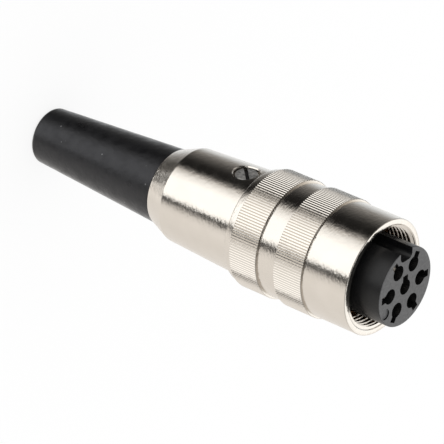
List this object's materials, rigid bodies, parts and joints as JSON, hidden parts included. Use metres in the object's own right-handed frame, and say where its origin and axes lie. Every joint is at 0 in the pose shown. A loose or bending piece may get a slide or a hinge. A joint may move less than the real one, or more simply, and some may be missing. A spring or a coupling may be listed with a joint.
{
  "type": "din socket",
  "caption": "Round screw-locking cable socket with keyed contact insert, knurled coupling ring, conical nickel shell and tapered rubber bend relief.",
  "frame": {"origin": "centre of the free end of the bend relief, which is the cable end of the part", "axes": "+Z along the connector axis from the cable end to the contact face, +Y through the keyway of the insert and the shell screw"},
  "size_m": [0.0186, 0.0186, 0.068],
  "materials": {
    "nickel": "brass turned and plated with satin nickel",
    "relief_rubber": "satin black rubber",
    "insert_moulding": "moulded, matt dark grey",
    "contact_metal": "silver plated",
    "shield_metal": "brass with dull tin plating",
    "screw_steel": "nickel plated steel"
  },
  "bodies": {
    "housing": {"rear_shell": "nickel", "bend_relief": "relief_rubber", "shield_half_top": "shield_metal", "shield_half_bottom": "shield_metal", "cable_clamp": "shield_metal", "clamp_screw_left": "screw_steel", "clamp_screw_right": "screw_steel", "shell_screw": "screw_steel", "contact_insert": "insert_moulding", "contact_retainer": "insert_moulding", "contact_1": "contact_metal", "contact_2": "contact_metal", "contact_3": "contact_metal", "contact_4": "contact_metal", "contact_5": "contact_metal", "contact_6": "contact_metal", "contact_centre": "contact_metal"},
    "ring": {"coupling_ring": "nickel"}
  },
  "joints": [
    {"name": "ring_turn", "type": "hinge", "parent": "housing", "child": "ring", "pos_m": [0, 0, 0.0528], "axis": [0, 0, 1], "continuous": true}
  ]
}
